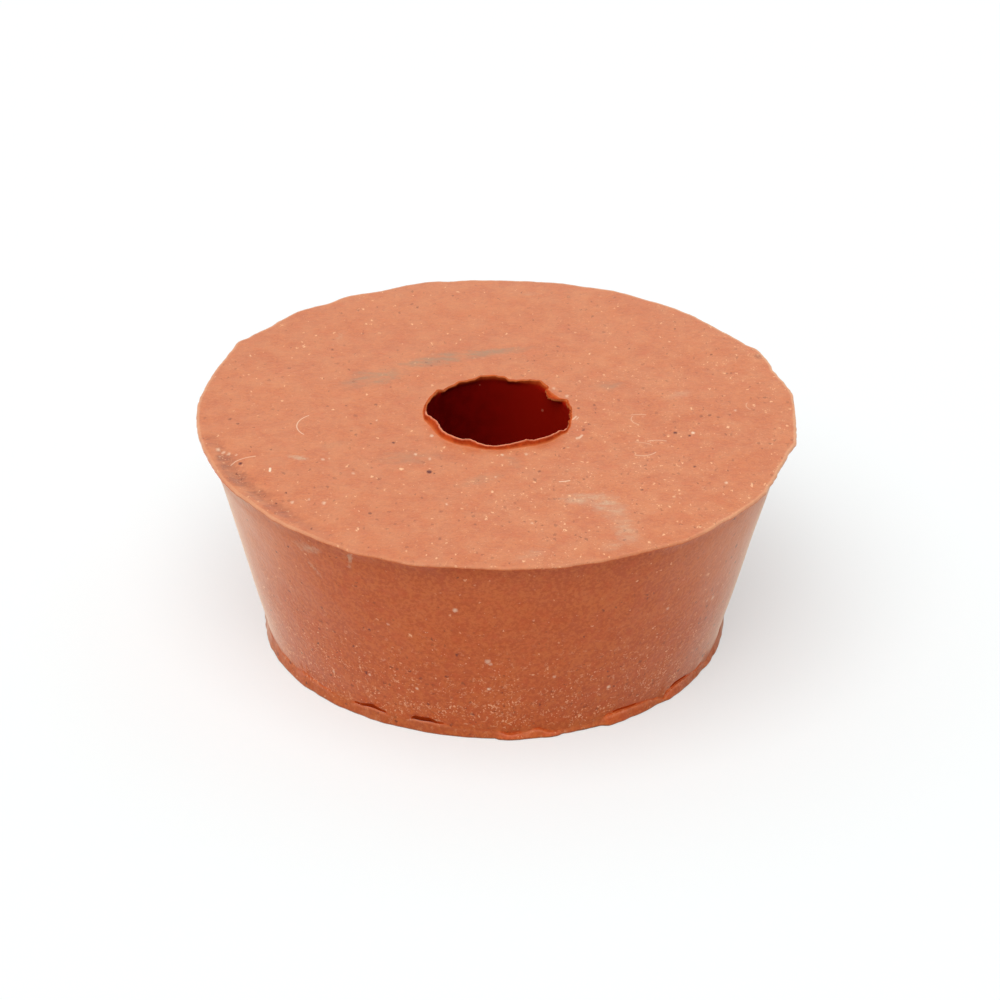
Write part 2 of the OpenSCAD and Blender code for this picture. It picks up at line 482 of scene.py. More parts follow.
def shape_foot(skin, shape):
    """Gives the flash round the foot its height, its stand-off and the gaps behind it.

    Returns where it has curled off as a flap, where its crest is, and where the slit behind it is.
    """
    height, stand, gap = (round_curve(FOOT_FLASH, skin.angle, column) for column in (1, 2, 3))
    rag = shape.raggedness / MM
    height = height + 1.4 * rag * round_noise(skin.angle, 110, 4.4)
    stand = stand + 0.8 * rag * round_noise(skin.angle, 140, 6.1)
    base = shape.foot_radius / MM + stand
    opened = ease(gap * 1.3)
    flare = base - side_r(0.2)
    crest = base + 0.10 * gap

    def blend(z, r_open, z_open):
        """From the fused flash, a soft flare at height z, to the opened one."""
        fused = side_r(z) + flare * np.clip(1 - (z - 0.2) / (height + 0.3), 0, 1) ** 1.6
        return fused + (r_open - fused) * opened, z + (z_open - z) * opened

    still = np.zeros_like(base)
    path = [
        (base - 0.09, still),
        (base - 0.02, still + 0.05),
        (base, still + 0.2),
        blend(0.40 * height, base + (crest - base) * 0.35, 0.5 * height),
        blend(0.58 * height, base + (crest - base) * 0.8, 0.8 * height),
        blend(0.74 * height, crest, height - 0.06),
        blend(0.86 * height, crest - 0.05, height),
        blend(0.95 * height, crest - 0.14, height - 0.02),
        blend(1.04 * height, side_r(height) - 0.35 * gap, height - 0.45 * gap),
        blend(1.13 * height, side_r(height) - 0.25 * gap, height + 0.38 * gap + 0.02),
        blend(1.25 * height, side_r(height + 0.6 * gap + 0.1), height + 0.6 * gap + 0.1),
    ]
    here = skin.among("foot")
    ring = np.rint(skin.share * (len(path) - 1)).astype(int)
    for place, (r, z) in enumerate(path):
        found = here & (ring == place)
        skin.r[found] = r[found]
        skin.z[found] = z[found]
    flap = ease(np.minimum(ring - 0.5, 7.5 - ring) / 2.0) * gap * np.clip(0.15 + 4 * stand, 0, 1)
    crest_line = ease(1 - np.abs(ring - 5.5) / 1.5) * np.clip(gap * 1.5, 0, 1)
    crevice = ease(1 - np.abs(ring - 8.3) / 1.4) * opened
    return here * flap, here * crest_line, here * crevice


def tear_mouth(skin, shape):
    """Tears the lip round the mouth of the hole."""
    rag = shape.raggedness / MM
    bore = shape.bore_radius / MM
    crumbs = 1 + 4 * ease((CRUMBS_HALF - skin.away_from(CRUMBS_AT)) / 10.0)
    edge_r, height, root = (round_curve(MOUTH_EDGE, skin.angle, column) for column in (1, 2, 3))
    tears = round_noise(skin.angle, 60, 1.7) + 0.5 * crumbs * round_noise(skin.angle, 170, 9.4)
    tip_r = edge_r + rag * tears
    tip_z = TOP_Z + height + 0.6 * rag * round_noise(skin.angle, 75, 7.7)
    root = np.maximum(root, tip_r + 0.04) + 0.4 * rag * round_noise(skin.angle, 30, 5.2)

    # The wide face is drawn in or out to meet the lip.
    shift = root + LIP_FILLET - 8.4
    skin.r += shift * np.clip((10.8 - skin.r) / 2.4, 0, 1) * skin.among("top")

    # Outer wall, from the root to the tip.
    outer = skin.among("lip_outer")
    t = skin.share
    skin.r[outer] = (root + (tip_r - root) * t + LIP_FILLET * (1 - t) ** 4)[outer]
    skin.z[outer] = (TOP_Z + (tip_z - TOP_Z) * t ** 1.4)[outer]

    # Edge, across the lip's thickness and a little crowned.
    across, up = tip_r - root, tip_z - TOP_Z
    length = np.hypot(across, up) + 1e-6
    in_r, in_z = tip_r - LIP_THICK * up / length, tip_z + LIP_THICK * across / length
    edge = skin.among("lip_edge")
    over = 0.15 + 0.85 * t
    proud = LIP_CROWN * 4 * t * (1 - t)
    skin.r[edge] = (tip_r + (in_r - tip_r) * over + proud * across / length)[edge]
    skin.z[edge] = (tip_z + (in_z - tip_z) * over + proud * up / length)[edge]

    # Inner wall, down into the hole.
    inner = skin.among("lip_inner")
    down = 0.12 + 0.88 * t
    skin.r[inner] = (in_r + (bore - in_r) * ease(down))[inner]
    skin.z[inner] = (in_z + (TOP_Z - 0.55 - in_z) * down)[inner]


def fill_attributes(skin, pale_rim, foot_masks):
    """Keeps where the rubber is inside the hole, thin, on a thin edge with its painted highlight, or on the wide
    face, for the materials.
    """
    flap, crest_line, crevice = foot_masks
    zone, t = skin.zone, skin.share
    front = ease((LIT_HALF - skin.away_from(LIT_AT)) / 10)
    inside = np.select(
        [zone == "lip_inner", zone == "bore", zone == "bore_foot"],
        [ease(t * 2.0), np.ones_like(t), 1 - 0.6 * t], 0.0)
    thin = np.select(
        [zone == "lip_outer", zone == "lip_edge", zone == "lip_inner"],
        [ease(t * 1.7), 0.45 + 0.55 * front, np.ones_like(t)], 0.0)
    # Painted highlight: the lip's edge is marked only along its lit front stretch; the flash's crests and the pale
    # rim are marked too.
    edge = np.select(
        [zone == "lip_edge", zone == "lip_inner", zone == "lip_outer", skin.among("rim", "top")],
        [front, 0.3 * front * ease(1 - t * 3.0), 0.8 * front * (t > 0.95), 0.7 * pale_rim * (t > 0.1)], 0.0)
    skin.keep("inside", inside)
    skin.keep("thin", np.maximum(np.maximum(thin, 0.7 * flap), crevice))
    skin.keep("edge", np.maximum(edge, 0.6 * crest_line))
    skin.keep("wide_face", skin.among("top", "lip_outer") | ((zone == "rim") & (t > 0.2)))


def line_the_hole(skin, crevice):
    """Gives the faces of the lip, the hole and the slits the second material, which has no powder."""
    mesh = skin.mesh
    deep = skin.among("lip_edge", "lip_inner", "bore", "bore_foot")
    deep |= skin.among("lip_outer") & (skin.share > 0.1)
    deep |= crevice > 0.2
    corners = np.empty(len(mesh.loops), dtype=np.int32)
    mesh.loops.foreach_get("vertex_index", corners)
    starts = np.empty(len(mesh.polygons), dtype=np.int32)
    mesh.polygons.foreach_get("loop_start", starts)
    lined = np.logical_and.reduceat(deep[corners], starts)
    mesh.polygons.foreach_set("material_index", lined.astype(np.int32))
    mesh.update()


def worn_body(shape):
    """One closed ring of rubber as it left the mould, then with its flash, torn lip and worn rim."""
    rings = section(shape)
    piece = spin_section("stopper_rubber", [(r * MM, z * MM) for _, _, r, z in rings], shape.segments)
    skin = Skin(piece, rings)
    wander(skin, shape)
    pale_rim = wear_rim(skin, shape)
    foot_masks = shape_foot(skin, shape)
    tear_mouth(skin, shape)
    skin.put_back()
    fill_attributes(skin, pale_rim, foot_masks)
    line_the_hole(skin, foot_masks[2])
    start_clean()
    piece.select_set(True)
    bpy.context.view_layer.objects.active = piece
    bpy.ops.object.shade_smooth_by_angle(angle=math.radians(50))
    return piece


# ---- Shader nodes ----

def put(tree, kind, inputs=None, output=0, **settings):
    """Adds a node with settings and inputs, given by name or number, and returns one of its outputs."""
    made = tree.nodes.new(kind)
    for name, value in settings.items():
        setattr(made, name, value)
    for place, value in (inputs or {}).items():
        socket = made.inputs[place]
        if isinstance(value, bpy.types.NodeSocket):
            tree.links.new(value, socket)
        else:
            socket.default_value = value
    return made.outputs[output]


def calc(tree, operation, *values, clamp=False):
    """A Math node."""
    return put(tree, "ShaderNodeMath", dict(enumerate(values)), operation=operation, use_clamp=clamp)


def mul(tree, *values, clamp=False):
    """Values multiplied together."""
    total = values[0]
    for value in values[1:]:
        total = calc(tree, "MULTIPLY", total, value, clamp=clamp)
    return total


def add(tree, one, other, clamp=False):
    """The sum of two values."""
    return calc(tree, "ADD", one, other, clamp=clamp)


def less(tree, one, other, clamp=False):
    """One value without another."""
    return calc(tree, "SUBTRACT", one, other, clamp=clamp)


def over(tree, one, other):
    """One value divided by another."""
    return calc(tree, "DIVIDE", one, other)


def line(tree, value, slope, start):
    """A value times a slope, added to a start."""
    return calc(tree, "MULTIPLY_ADD", value, slope, start)


def most(tree, one, other):
    """The larger of two values."""
    return calc(tree, "MAXIMUM", one, other)


def reach(tree, across, up):
    """The straight distance that two steps at right angles make."""
    return calc(tree, "SQRT", add(tree, mul(tree, across, across), mul(tree, up, up)))


def vector(tree, operation, *values, output=0):
    """A Vector Math node."""
    return put(tree, "ShaderNodeVectorMath", dict(enumerate(values)), output=output, operation=operation)


def scaled(tree, step, scale):
    """A vector made longer or shorter."""
    return put(tree, "ShaderNodeVectorMath", {0: step, "Scale": scale}, operation="SCALE")


def split(tree, place):
    """The x, y and z of a place."""
    return put(tree, "ShaderNodeSeparateXYZ", {0: place}).node.outputs


def join(tree, x, y):
    """A flat place from its x and y."""
    return put(tree, "ShaderNodeCombineXYZ", {0: x, 1: y})


def ramp(tree, value, low, high, to_low=0.0, to_high=1.0):
    """Maps a value from low..high to a soft 0..1, or between two other numbers."""
    return put(
        tree, "ShaderNodeMapRange",
        {"Value": value, "From Min": low, "From Max": high, "To Min": to_low, "To Max": to_high},
        interpolation_type="SMOOTHSTEP")


def between(tree, share, below, above):
    """Mixes two values."""
    return put(tree, "ShaderNodeMix", {0: share, 2: below, 3: above}, data_type="FLOAT")


def tint(tree, share, below, above):
    """Mixes two colours."""
    return put(tree, "ShaderNodeMix", {0: share, 6: below, 7: above}, output=2, data_type="RGBA")


def cloud(tree, size, detail, at, rough=0.5):
    """Soft noise, about 0.3 to 0.7, with patches of a size in millimetres."""
    return put(
        tree, "ShaderNodeTexNoise", {"Vector": at, "Scale": 1 / size, "Detail": detail, "Roughness": rough})


def kept(tree, *names):
    """Values that the mesh keeps for each vertex."""
    return [put(tree, "ShaderNodeAttribute", output=2, attribute_name=name) for name in names]


def place_in_mm(tree):
    """The point on the stopper, in millimetres."""
    return scaled(tree, put(tree, "ShaderNodeTexCoord", output=3), 1 / MM)


def rgba(colour):
    """A colour property as four numbers."""
    return (*colour, 1.0)


def times(colour, *factors):
    """A colour as four numbers, with its channels multiplied."""
    return rgba(min(1.0, c * k) for c, k in zip(colour, factors))


def new_material(name):
    """An empty material and its node tree."""
    material = bpy.data.materials.new(name)
    material.use_nodes = True
    material.node_tree.nodes.clear()
    return material, material.node_tree


# ---- Effects, as node groups ----

def new_group(name, **inputs):
    """An empty node group with float or vector inputs, given as name=default, and a mask as its output."""
    group = bpy.data.node_groups.new(name, "ShaderNodeTree")
    for label, default in inputs.items():
        kind = "NodeSocketVector" if isinstance(default, tuple) else "NodeSocketFloat"
        socket = group.interface.new_socket(name=spoken(label), in_out="INPUT", socket_type=kind)
        socket.default_value = default
    group.interface.new_socket(name="Mask", in_out="OUTPUT", socket_type="NodeSocketFloat")
    given = group.nodes.new("NodeGroupInput").outputs
    out = group.nodes.new("NodeGroupOutput").inputs
    return group, given, out


def spoken(label):
    """A socket's name, from the same name in lower case with underscores."""
    return label.replace("_", " ").title()


def use(tree, group, **values):
    """Places a group with its inputs, named as for new_group, and returns its mask."""
    named = {spoken(label): value for label, value in values.items()}
    return put(tree, "ShaderNodeGroup", named, node_tree=group)


def random_cells(group, place, spacing, dimensions):
    """Cells of a spacing: what the cell node puts out, and three random draws for each cell."""
    cells = group.nodes.new("ShaderNodeTexVoronoi")
    cells.voronoi_dimensions = dimensions
    group.links.new(place, cells.inputs["Vector"])
    group.links.new(over(group, 1.0, spacing), cells.inputs["Scale"])
    draws = put(group, "ShaderNodeSeparateColor", {0: cells.outputs["Color"]}).node.outputs
    return cells.outputs, draws


def from_mark(group, given, turn):
    """The place as x and y along and across one mark, counted from its centre."""
    local = vector(group, "SUBTRACT", given["Place"], given["Centre"])
    back = mul(group, turn, -1.0)
    turned = put(
        group, "ShaderNodeVectorRotate", {"Vector": local, "Angle": back}, rotation_type="Z_AXIS")
    return split(group, turned)


def specks_group():
    """Loose specks: one in each cell of a spacing, for a share of the cells."""
    group, given, out = new_group(
        "Loose Specks", place=(0.0, 0.0, 0.0), spacing=1.0, share=0.5, size=0.15, raggedness=0.3)
    wobble = put(
        group, "ShaderNodeTexNoise", {"Vector": given["Place"], "Scale": 4.0, "Detail": 1.0}, output=1)
    stray = vector(group, "SUBTRACT", wobble, (0.5, 0.5, 0.5))
    moved = vector(group, "ADD", given["Place"], scaled(group, stray, given["Raggedness"]))
    cells, draws = random_cells(group, moved, given["Spacing"], "3D")
    present = calc(group, "LESS_THAN", draws[0], given["Share"])
    radius = mul(group, given["Size"], line(group, draws[1], 0.7, 0.3))
    away = mul(group, cells["Distance"], given["Spacing"])
    near = ramp(group, over(group, away, radius), 1.0, 0.45)
    strength = line(group, mul(group, draws[2], draws[2]), 0.8, 0.2)
    group.links.new(mul(group, near, present, strength), out["Mask"])
    return group


def rubbed_group():
    """One rubbed mark: a long soft patch with broken edges."""
    group, given, out = new_group(
        "Rubbed Mark", place=(0.0, 0.0, 0.0), broken=0.5, centre=(0.0, 0.0, 0.0), turn=0.0, half_length=1.0,
        half_width=1.0, raggedness=1.0)
    x, y, _ = from_mark(group, given, given["Turn"])
    along = over(group, x, given["Half Length"])
    across = over(group, y, given["Half Width"])
    away = reach(group, along, across)
    broken = mul(group, less(group, given["Broken"], 0.5), given["Raggedness"])
    group.links.new(ramp(group, add(group, away, broken), 1.3, 0.25), out["Mask"])
    return group


def fibre_group():
    """One fibre: a thin arc, or a short straight stroke when its bend is wide."""
    group, given, out = new_group(
        "Fibre Mark", place=(0.0, 0.0, 0.0), centre=(0.0, 0.0, 0.0), bend=1.0, facing=0.0, half_sweep=0.5,
        half_width=0.07)
    x, y, _ = from_mark(group, given, given["Facing"])
    turn = calc(group, "ABSOLUTE", calc(group, "ARCTAN2", y, x))
    off = less(group, reach(group, x, y), given["Bend"])
    past = most(group, less(group, turn, given["Half Sweep"]), 0.0)
    away = reach(group, off, mul(group, past, given["Bend"]))
    group.links.new(ramp(group, over(group, away, given["Half Width"]), 1.15, 0.5), out["Mask"])
    return group


def dust_group():
    """Fine dust: small uneven grains that cover more or less of the surface."""
    group, given, out = new_group("Fine Dust", place=(0.0, 0.0, 0.0), size=0.25, cover=0.5)
    grains = put(
        group, "ShaderNodeTexNoise",
        {"Vector": given["Place"], "Scale": over(group, 1.0, given["Size"]), "Detail": 1.0})
    start = line(group, given["Cover"], -0.2, 0.82)
    group.links.new(ramp(group, grains, start, add(group, start, 0.09)), out["Mask"])
    return group


def loose_fibres_group(fibre):
    """Short curled fibres, strewn one to a cell for a share of the cells."""
    group, given, out = new_group(
        "Loose Fibres", place=(0.0, 0.0, 0.0), spacing=3.0, share=0.5, bend=1.0, half_sweep=0.6,
        half_width=0.05)
    cells, draws = random_cells(group, given["Place"], given["Spacing"], "2D")
    facing = mul(group, draws[1], 2 * math.pi)
    bend = mul(group, given["Bend"], line(group, draws[2], 1.5, 0.4))
    inward = mul(group, bend, -1.0)
    across = mul(group, inward, calc(group, "COSINE", facing))
    centre = join(group, across, mul(group, inward, calc(group, "SINE", facing)))
    mark = use(
        group, fibre, place=vector(group, "SUBTRACT", given["Place"], cells["Position"]), centre=centre,
        bend=bend, facing=facing, half_sweep=given["Half Sweep"], half_width=given["Half Width"])
    present = calc(group, "LESS_THAN", draws[0], given["Share"])
    group.links.new(mul(group, mark, present), out["Mask"])
    return group


# Marks lie on the wide face by x and y, and on the side by the way round from the front and the height.
# Grey rubbed marks on the wide face: x, y, turn, half length, half width, strength.
GREY_MARKS = [
    (-13.0, 8.2, 28, 4.0, 1.8, 0.54), (-7.0, 12.0, 22, 4.8, 1.3, 0.62), (-1.4, 13.9, 14, 4.4, 0.9, 0.62),
    (-9.0, -9.6, 8, 3.4, 1.4, 0.28), (-1.8, -14.3, 30, 2.8, 1.0, 0.32), (11.9, 6.7, 20, 1.6, 1.1, 0.4),
    (-17.0, -7.0, 20, 2.2, 1.0, 0.18), (1.8, -10.2, -60, 1.6, 0.7, 0.3),
]

# Pale rubbed marks on the wide face, in the same form.
PALE_MARKS = [
    (9.2, -17.9, 0, 3.0, 1.3, 0.6), (12.0, -19.6, -66, 2.8, 1.6, 0.74), (13.3, -23.6, -76, 3.4, 1.3, 0.55),
    (11.8, -27.4, 30, 1.4, 0.9, 0.35), (3.6, -29.4, 25, 2.0, 0.9, 0.35), (19.4, 4.6, 30, 1.7, 0.8, 0.32),
    (3.6, 28.2, 8, 1.5, 0.35, 0.3), (-20.8, -9.9, -15, 1.2, 0.4, 0.7), (-17.3, 17.6, 70, 1.2, 0.35, 0.25),
]

# Brown dirt in the worn groove on the wide face, in the same form.
SOIL_MARKS = [
    (-29.9, -6.2, 100, 1.8, 0.8, 0.35), (-28.5, -10.1, 109, 3.0, 1.1, 0.7),
    (-26.8, -13.8, 117, 3.0, 1.2, 0.68), (-24.6, -17.2, 125, 3.0, 1.1, 0.7),
    (-22.4, -20.1, 132, 3.0, 1.0, 0.6), (-20.0, -22.9, 138, 2.6, 0.8, 0.3),
]

# Pale rubbed marks on the side, in the same form.
SIDE_MARKS = [
    (-19.4, 22.0, 5, 1.7, 0.55, 0.5), (-14.1, 22.4, 80, 1.3, 0.3, 0.55),
    (-18.9, 19.4, -50, 1.1, 0.22, 0.45),
]

# Fibres lying on the wide face: centre x, y, bend radius, facing, half sweep, half width, strength.
FIBRES = [
    (-18.4, -2.9, 2.74, 175, 50, 0.07, 0.6), (-24.5, -13.6, 4.0, 121, 21, 0.08, 0.5),
    (-26.5, -12.5, 3.0, 0, 6, 0.14, 0.95), (15.3, -2.7, 3.0, 92, 15, 0.07, 0.4),
    (15.6, -0.7, 1.2, 200, 50, 0.06, 0.35), (17.1, -7.6, 2.4, 92, 24, 0.07, 0.5),
    (14.7, -8.6, 3.0, 72, 16, 0.06, 0.35), (15.4, -6.9, 1.7, 285, 42, 0.07, 0.5),
    (6.2, -10.0, 4.4, 283, 7, 0.10, 0.7), (28.0, 2.6, 1.2, 190, 40, 0.06, 0.3),
    (6.3, -3.3, 3.0, 333, 7, 0.16, 0.5), (6.0, -3.6, 3.0, 333, 5, 0.1, 0.35),
    (5.7, 0.8, 3.0, 333, 8, 0.13, 0.45), (5.95, 0.6, 3.0, 336, 5, 0.08, 0.4),
]

# Single flecks on the wide face: x, y, radius, strength, with dark ones below nought.
FLECKS = [
    (-6.9, -12.5, 0.30, -0.9), (-6.4, -12.8, 0.14, -0.5), (15.2, -15.9, 0.2, -0.6),
    (19.0, -3.6, 0.22, -0.8), (20.5, -4.2, 0.2, -0.7), (20.8, -10.9, 0.18, -0.6), (9.2, -13.8, 0.17, -0.4),
    (23.5, 14.2, 0.2, -0.5), (-18.0, 14.5, 0.22, -0.45), (-12.8, -21.3, 0.2, -0.5),
    (-26.7, -11.1, 0.24, -0.9), (9.3, -3.2, 0.17, -0.6), (9.9, -1.9, 0.14, -0.5), (10.6, 0.6, 0.14, -0.45),
    (28.6, 13.9, 0.5, -0.25), (7.2, -7.2, 0.15, -0.45), (-12.9, 2.0, 0.15, -0.4), (-2.0, -23.4, 0.18, -0.3),
    (-10.8, -6.3, 0.2, -0.75), (-13.3, -2.3, 0.16, -0.45), (-15.0, -0.6, 0.3, -0.25),
    (-21.6, -17.3, 0.14, -0.6), (-23.6, -8.2, 0.16, -0.4), (-28.3, -1.6, 0.22, -0.4),
    (-27.4, -2.6, 0.15, -0.5), (10.5, 2.3, 0.2, -0.5), (8.8, 1.6, 0.18, -0.5), (4.6, -12.2, 0.22, -0.4),
    (21.9, 0.0, 0.22, -0.35), (22.8, 0.2, 0.22, -0.4), (23.7, -0.2, 0.22, -0.35), (6.9, 5.4, 0.2, -0.4),
    (-12.7, -1.5, 0.14, 0.6), (-14.8, -13.0, 0.2, 0.4), (-18.1, -10.2, 0.2, 0.5), (-17.4, -10.0, 0.14, 0.4),
    (-20.9, -19.2, 0.2, 0.5), (0.7, -8.8, 0.2, 0.6), (3.2, -8.6, 0.2, 0.55), (-6.8, -4.8, 0.22, 0.7),
    (6.2, 6.0, 0.25, 0.45), (7.6, 4.3, 0.25, 0.5), (-6.9, -9.8, 0.2, 0.5), (-29.2, -7.9, 0.28, 0.6),
    (-28.6, -8.5, 0.22, 0.5), (-28.0, -9.0, 0.2, 0.5), (-27.2, -9.3, 0.16, 0.4), (-28.9, -9.4, 0.14, 0.35),
    (-5.0, -19.3, 0.16, 0.6), (24.0, -14.2, 0.2, 0.75), (3.8, -23.0, 0.16, 0.5), (20.9, -3.6, 0.2, 0.95),
    (0.0, -13.4, 0.16, 0.5), (25.6, 1.4, 0.18, 0.5), (-17.6, -19.4, 0.24, 0.6), (-19.2, -18.6, 0.16, 0.45),
    (8.6, -5.0, 0.2, 0.6), (-8.4, -8.8, 0.2, 0.6),
]

# Single flecks on the side, in the same form.
SIDE_FLECKS = [
    (-3.8, 18.0, 0.28, 0.7), (-0.6, 11.0, 0.36, 0.55), (-0.3, 10.6, 0.22, 0.5), (-0.5, 7.0, 0.24, 0.95),
    (-14.4, 6.3, 0.22, 0.8), (13.4, 5.3, 0.26, 0.8), (-8.6, 6.0, 0.22, 0.7), (6.6, 8.4, 0.2, 0.5),
    (-11.0, 14.6, 0.2, 0.45), (19.2, 14.2, 0.24, 0.5), (27.4, 11.6, 0.3, 0.6), (26.2, 11.9, 0.2, 0.5),
    (-19.8, 4.6, 0.2, 0.6), (-19.2, 13.8, 0.22, -0.6), (-20.6, 10.2, 0.2, -0.55), (-12.2, 17.2, 0.2, -0.4),
    (30.2, 13.3, 0.2, -0.6), (29.4, 17.4, 0.26, -0.7), (-2.0, 15.0, 0.16, -0.3), (9.0, 4.0, 0.18, -0.4),
]


def gather(tree, masks):
    """The strongest of several masks, each taken in as soon as it is made."""
    total = 0.0
    for mask in masks:
        total = most(tree, mask, total)
    return total


def rubbed_marks(tree, rubbed, flat, broken, rows):
    """All the rubbed marks of one kind."""
    return gather(tree, (
        mul(tree, use(
            tree, rubbed, place=flat, broken=broken, centre=(cx, cy, 0.0), turn=math.radians(turn),
            half_length=long, half_width=wide, raggedness=2.2), strength)
        for cx, cy, turn, long, wide, strength in rows))


def fibre_marks(tree, fibre, flat, rows):
    """All the single fibres."""
    return gather(tree, (
        mul(tree, use(
            tree, fibre, place=flat, centre=(cx, cy, 0.0), bend=bend, facing=math.radians(facing),
            half_sweep=math.radians(sweep), half_width=wide), strength)
        for cx, cy, bend, facing, sweep, wide, strength in rows))


def fleck_marks(tree, flat, rows, sign, depth=1.0):
    """A list's pale flecks, or its dark ones for a sign of -1. A depth below 1 draws them out along y."""
    flat = vector(tree, "MULTIPLY", flat, (1.0, depth, 1.0))
    total = 0.0
    for cx, cy, radius, strength in rows:
        if strength * sign > 0:
            away = vector(tree, "DISTANCE", flat, (cx, cy * depth, 0.0), output=1)
            spot = ramp(tree, away, radius * 1.3, radius * 0.2, 0.0, abs(strength))
            total = most(tree, spot, total)
    return total


# ---- Materials ----

CLEAR_GLOSS = 0.04
GLOW_SPREAD = 0.32


